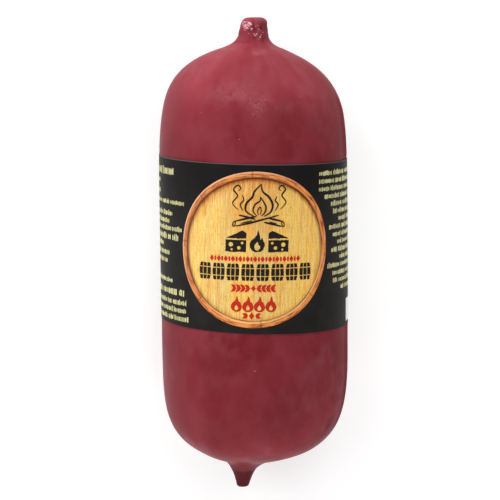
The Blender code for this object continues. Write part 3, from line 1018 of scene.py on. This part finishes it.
# The red print. Between and below the stencilled lines: a band of lozenges and bars, a sprig
# of leaves, four flames and a last winged lozenge, in bright red ink. The flames throw a thin
# brown shade.
BAND_PLACE = (0.2, -2.45)
BAND_COUNT = 13
BAND_PITCH = 2.02
LOZENGE = (0.62, 0.88)      # half width and half height
BAR = (0.27, 0.6)
SPRIG_PLACE = (-0.1, -10.5)
SPRIG_STEM = (6.0, 0.09)
SPRIG_HEART = (0.62, 0.85)
SPRIG_LEAVES = (1.0, 2.25, 3.5, 4.75)       # how far out each pair grows
SPRIG_LEAN = 38
LEAF_LENGTH = 1.75
LEAF_HALF_WIDTH = 0.42
LEAF_STEPS = 8
FLAMES_PLACE = (0.0, -14.85)
FLAMES_COUNT = 4
FLAMES_PITCH = 3.15
FLAMES_SCALE = 0.7
LAST_PLACE = (-0.4, -18.1)
LAST_HEART = (0.75, 1.05)
LAST_LEAVES = (1.0,)
LAST_LEAN = 24
RED_INK = (rgb(202, 38, 28), rgb(150, 44, 20))
BROWN_INK = (rgb(76, 24, 10), rgb(96, 44, 16))
SHADE_THROW = (0.13, 0.1)   # to the right and down
SHADE_FACE = PAPER_FACE + 0.000044


def box_outline(half_width, half_height):
    """Outline of an upright box."""
    return [(-half_width, -half_height), (half_width, -half_height),
            (half_width, half_height), (-half_width, half_height)]


def lozenge_outline(half_width, half_height):
    """Outline of a diamond on its point."""
    return [(-half_width, 0), (0, -half_height), (half_width, 0), (0, half_height)]


def leaf_outline(lean):
    """A pointed leaf that grows from the place at a lean in degrees."""
    turn = Matrix.Rotation(math.radians(lean), 3, "Z")
    upper = []
    for step in range(LEAF_STEPS + 1):
        half = LEAF_HALF_WIDTH * math.sin(math.pi * (step / LEAF_STEPS) ** 0.8)
        upper.append(Vector((LEAF_LENGTH * step / LEAF_STEPS, half, 0)))
    lower = [Vector((point.x, -point.y, 0)) for point in reversed(upper[1:-1])]
    return [turn @ point for point in upper + lower]


def leaf_pairs(marks, place, starts, lean):
    """Pairs of leaves that grow away from a place at both sides."""
    for side in (-1, 1):
        for start in starts:
            for leaf in (leaf_outline(lean), leaf_outline(-lean)):
                root = (place[0] + side * start, place[1])
                fill_ink(marks, root, mirrored(leaf, side), lift=STROKE_STEP)


def flame_row(marks, across=0.0, down=0.0):
    """The four flames, moved by some millimetres."""
    middle = (FLAMES_PLACE[0] + across, FLAMES_PLACE[1] - down)
    for place in row_places(middle, FLAMES_COUNT, FLAMES_PITCH):
        fill_ink(marks, place, *flame_outlines(FLAMES_SCALE))


def red_marks():
    """All the red print in one flat print."""
    marks = bmesh.new()
    for place in row_places(BAND_PLACE, BAND_COUNT, BAND_PITCH):
        fill_ink(marks, place, lozenge_outline(*LOZENGE))
    for place in row_places(BAND_PLACE, BAND_COUNT - 1, BAND_PITCH):
        fill_ink(marks, place, box_outline(*BAR))
    fill_ink(marks, SPRIG_PLACE, box_outline(*SPRIG_STEM))
    leaf_pairs(marks, SPRIG_PLACE, SPRIG_LEAVES, SPRIG_LEAN)
    fill_ink(marks, SPRIG_PLACE, lozenge_outline(*SPRIG_HEART), lift=2 * STROKE_STEP)
    flame_row(marks)
    fill_ink(marks, LAST_PLACE, lozenge_outline(*LAST_HEART))
    leaf_pairs(marks, LAST_PLACE, LAST_LEAVES, LAST_LEAN)
    slice_up(marks)
    return wrap_print(marks, INK_BASE, INK_FACE)


def flame_shades():
    """The brown shade of each flame, to its lower right and under the red."""
    shades = bmesh.new()
    flame_row(shades, *SHADE_THROW)
    slice_up(shades)
    return wrap_print(shades, INK_BASE, SHADE_FACE)


red_print = piece_from("red_marks", red_marks(), ink_finish("red_ink", *RED_INK))
shade_print = piece_from("flame_shades", flame_shades(), ink_finish("brown_ink", *BROWN_INK))


# The small print. Both sides of the label carry lines of tiny pale yellow print, ragged where
# they face the barrel head. Here each word is a run of plain ticks. The white panel for the
# date stands below the right-hand lines.
LINE_FAR_END = 60.0         # how far round from the barrel head's middle the lines reach
LINE_PITCH = 2.155
RIGHT_TOP = 20.35
RIGHT_STARTS = (19.0, 19.0, 19.0, 21.2, 24.2, 25.3, 28.4, 23.5,
                25.3, 27.8, 24.6, 29.3, 23.0, 25.4, 25.7, 30.2)
LEFT_LINES = (              # how far up, where it starts, size
    (20.0, 26.8, 1.45), (17.1, 36.8, 1.0), (14.1, 36.8, 1.0), (11.5, 21.9, 0.9), (8.3, 27.3, 1.0),
    (6.1, 29.0, 1.0), (4.1, 22.7, 1.0), (1.7, 24.3, 1.2), (-0.5, 33.4, 1.0), (-2.8, 28.9, 1.1),
    (-5.1, 30.2, 1.0), (-10.5, 27.1, 0.9), (-13.5, 21.5, 1.4), (-16.3, 20.6, 1.0), (-18.5, 20.7, 1.0),
    (-20.8, 19.7, 1.0),
)
TICK_HEIGHT = 1.2
TICK_WIDTHS = (0.18, 0.3)
TICK_GAPS = (0.13, 0.3)
TICK_LENGTHS = (0.75, 1.0)  # short and long ticks, and how far one in six stands out
TICK_RISE = 0.3
WORD_TICKS = (4, 18)
WORD_GAP = 0.6
SMALL_BASE = PAPER_FACE - 0.00004
SMALL_FACE = PAPER_FACE + 0.00003
YELLOW_INK = (rgb(230, 222, 160), rgb(172, 166, 112))
WHITE_INK = (rgb(244, 243, 238), rgb(226, 224, 216))
PANEL_PLACE = (44.8, -19.2)
PANEL_HALF_SIZE = (9.5, 3.2)


def line_of_ticks(lines, rng, side, v, start, scale):
    """One line: words of ticks, each tick a small flat box, from its start to the far end."""
    reach = start
    left = rng.randint(*WORD_TICKS)
    while reach < LINE_FAR_END:
        width = rng.uniform(*TICK_WIDTHS) * scale
        rise = rng.choices((0.0, TICK_RISE), (5, 1))[0]
        height = TICK_HEIGHT * scale * (rng.choice(TICK_LENGTHS) + rise)
        middle = (side * (reach + width / 2) * MM, (v + rise * 0.5) * MM, 0)
        size = Matrix.Diagonal((width * MM, height * MM, 1, 1))
        bmesh.ops.create_grid(lines, x_segments=1, y_segments=1, size=0.5,
                              matrix=Matrix.Translation(middle) @ size)
        reach += width + rng.choice(TICK_GAPS) * scale
        left -= 1
        if left == 0:
            left = rng.randint(*WORD_TICKS)
            reach += WORD_GAP * scale


def small_lines():
    """The lines of ticks at both sides of the barrel head."""
    rng = random.Random(5)
    lines = bmesh.new()
    for row, start in enumerate(RIGHT_STARTS):
        line_of_ticks(lines, rng, 1, RIGHT_TOP - LINE_PITCH * row, start, 1.0)
    for v, start, scale in LEFT_LINES:
        line_of_ticks(lines, rng, -1, v, start, scale)
    return wrap_print(lines, SMALL_BASE, SMALL_FACE)


def date_panel():
    """The white panel: a plain box on the right side of the label."""
    panel = bmesh.new()
    fill_ink(panel, PANEL_PLACE, box_outline(*PANEL_HALF_SIZE))
    slice_up(panel)
    return wrap_print(panel, SMALL_BASE, SMALL_FACE)


small_print = piece_from("small_print", small_lines(), ink_finish("pale_yellow_ink", *YELLOW_INK))
panel_print = piece_from("date_panel", date_panel(), ink_finish("white_ink", *WHITE_INK))


# Floor, light and camera. A plain pale backlit table, and soft boxes round the loaf, most of
# them low and none right over it, so the black paper stays dark. The strongest stand beyond
# the top end.
FLOOR_HALF = 3.0
FLOOR_DROP = 0.0001         # the table lies a hair under the loaf
FLOOR_COLOUR = (0.62, 0.62, 0.62, 1.0)
FLOOR_GLOW = 0.47
LIGHT_DISTANCE = 0.9
SOFT_BOXES = (              # name, degrees up, degrees round from +X, size, watts
    ("top_end_box", 12, 90, 0.3, 6.9),
    ("top_left_box", 12, 135, 0.3, 4.0),
    ("left_box", 12, 180, 0.3, 0.5),
    ("left_high_box", 35, 180, 0.4, 0.6),
    ("bottom_left_box", 12, 225, 0.3, 1.9),
    ("bottom_end_box", 12, 270, 0.3, 2.0),
    ("bottom_end_high_box", 35, 270, 0.4, 1.9),
    ("bottom_right_box", 12, 315, 0.3, 0.9),
    ("bottom_right_high_box", 35, 315, 0.4, 1.5),
    ("over_left_box", 60, 140, 0.4, 1.6),
    ("over_right_box", 60, 60, 0.4, 2.3),
)
LOAF_MIDDLE = Vector((0, WIDEST_Y, AXIS_HEIGHT))
CAMERA_DISTANCE = 0.5854
CAMERA_ELEVATION = math.radians(7.65)
CAMERA_ROLL = math.radians(0.61)
CAMERA_SIDE = -0.00113
CAMERA_AIM_Y = 0.0015
CAMERA_LENS = 147.9         # and the sensor's width, in millimetres
CAMERA_SENSOR = 36


def pale_floor():
    """A broad plain floor under the loaf."""
    sheet = bmesh.new()
    bmesh.ops.create_grid(sheet, x_segments=1, y_segments=1, size=FLOOR_HALF,
                          matrix=Matrix.Translation((0, 0, -FLOOR_DROP)))
    plain = Finish("pale_floor", 0.8, Base_Color=FLOOR_COLOUR, Emission_Color=(1, 1, 1, 1),
                   Emission_Strength=FLOOR_GLOW)
    floor = object_from("floor", sheet, plain.material)


def soft_box(name, up, degrees_round, size, watts):
    """A soft square light that faces the middle of the loaf."""
    lamp = bpy.data.lights.new(name, "AREA")
    lamp.size = size
    lamp.energy = watts
    tilt = Matrix.Rotation(-math.radians(up), 3, "Y")
    aside = Matrix.Rotation(math.radians(degrees_round), 3, "Z") @ tilt @ Vector((1, 0, 0))
    light = placed(name, lamp)
    light.location = LOAF_MIDDLE + aside * LIGHT_DISTANCE
    light.rotation_mode = "QUATERNION"
    light.rotation_quaternion = aside.to_track_quat("Z", "Y")


pale_floor()
for box in SOFT_BOXES:
    soft_box(*box)
world = bpy.data.worlds.new("studio")
world.use_nodes = True
world.node_tree.nodes["Background"].inputs["Color"].default_value = (0, 0, 0, 1)
bpy.context.scene.world = world
bpy.context.scene.view_settings.view_transform = "Standard"

camera_data = bpy.data.cameras.new("camera")
camera_data.lens = CAMERA_LENS
camera_data.sensor_width = CAMERA_SENSOR
camera = placed("camera", camera_data)
away = Vector((0, math.sin(CAMERA_ELEVATION), math.cos(CAMERA_ELEVATION)))
camera.location = Vector((CAMERA_SIDE, CAMERA_AIM_Y, AXIS_HEIGHT)) + away * CAMERA_DISTANCE
facing_down = Matrix.Rotation(-CAMERA_ELEVATION, 4, "X")
camera.rotation_euler = (facing_down @ Matrix.Rotation(-CAMERA_ROLL, 4, "Z")).to_euler()
bpy.context.scene.camera = camera
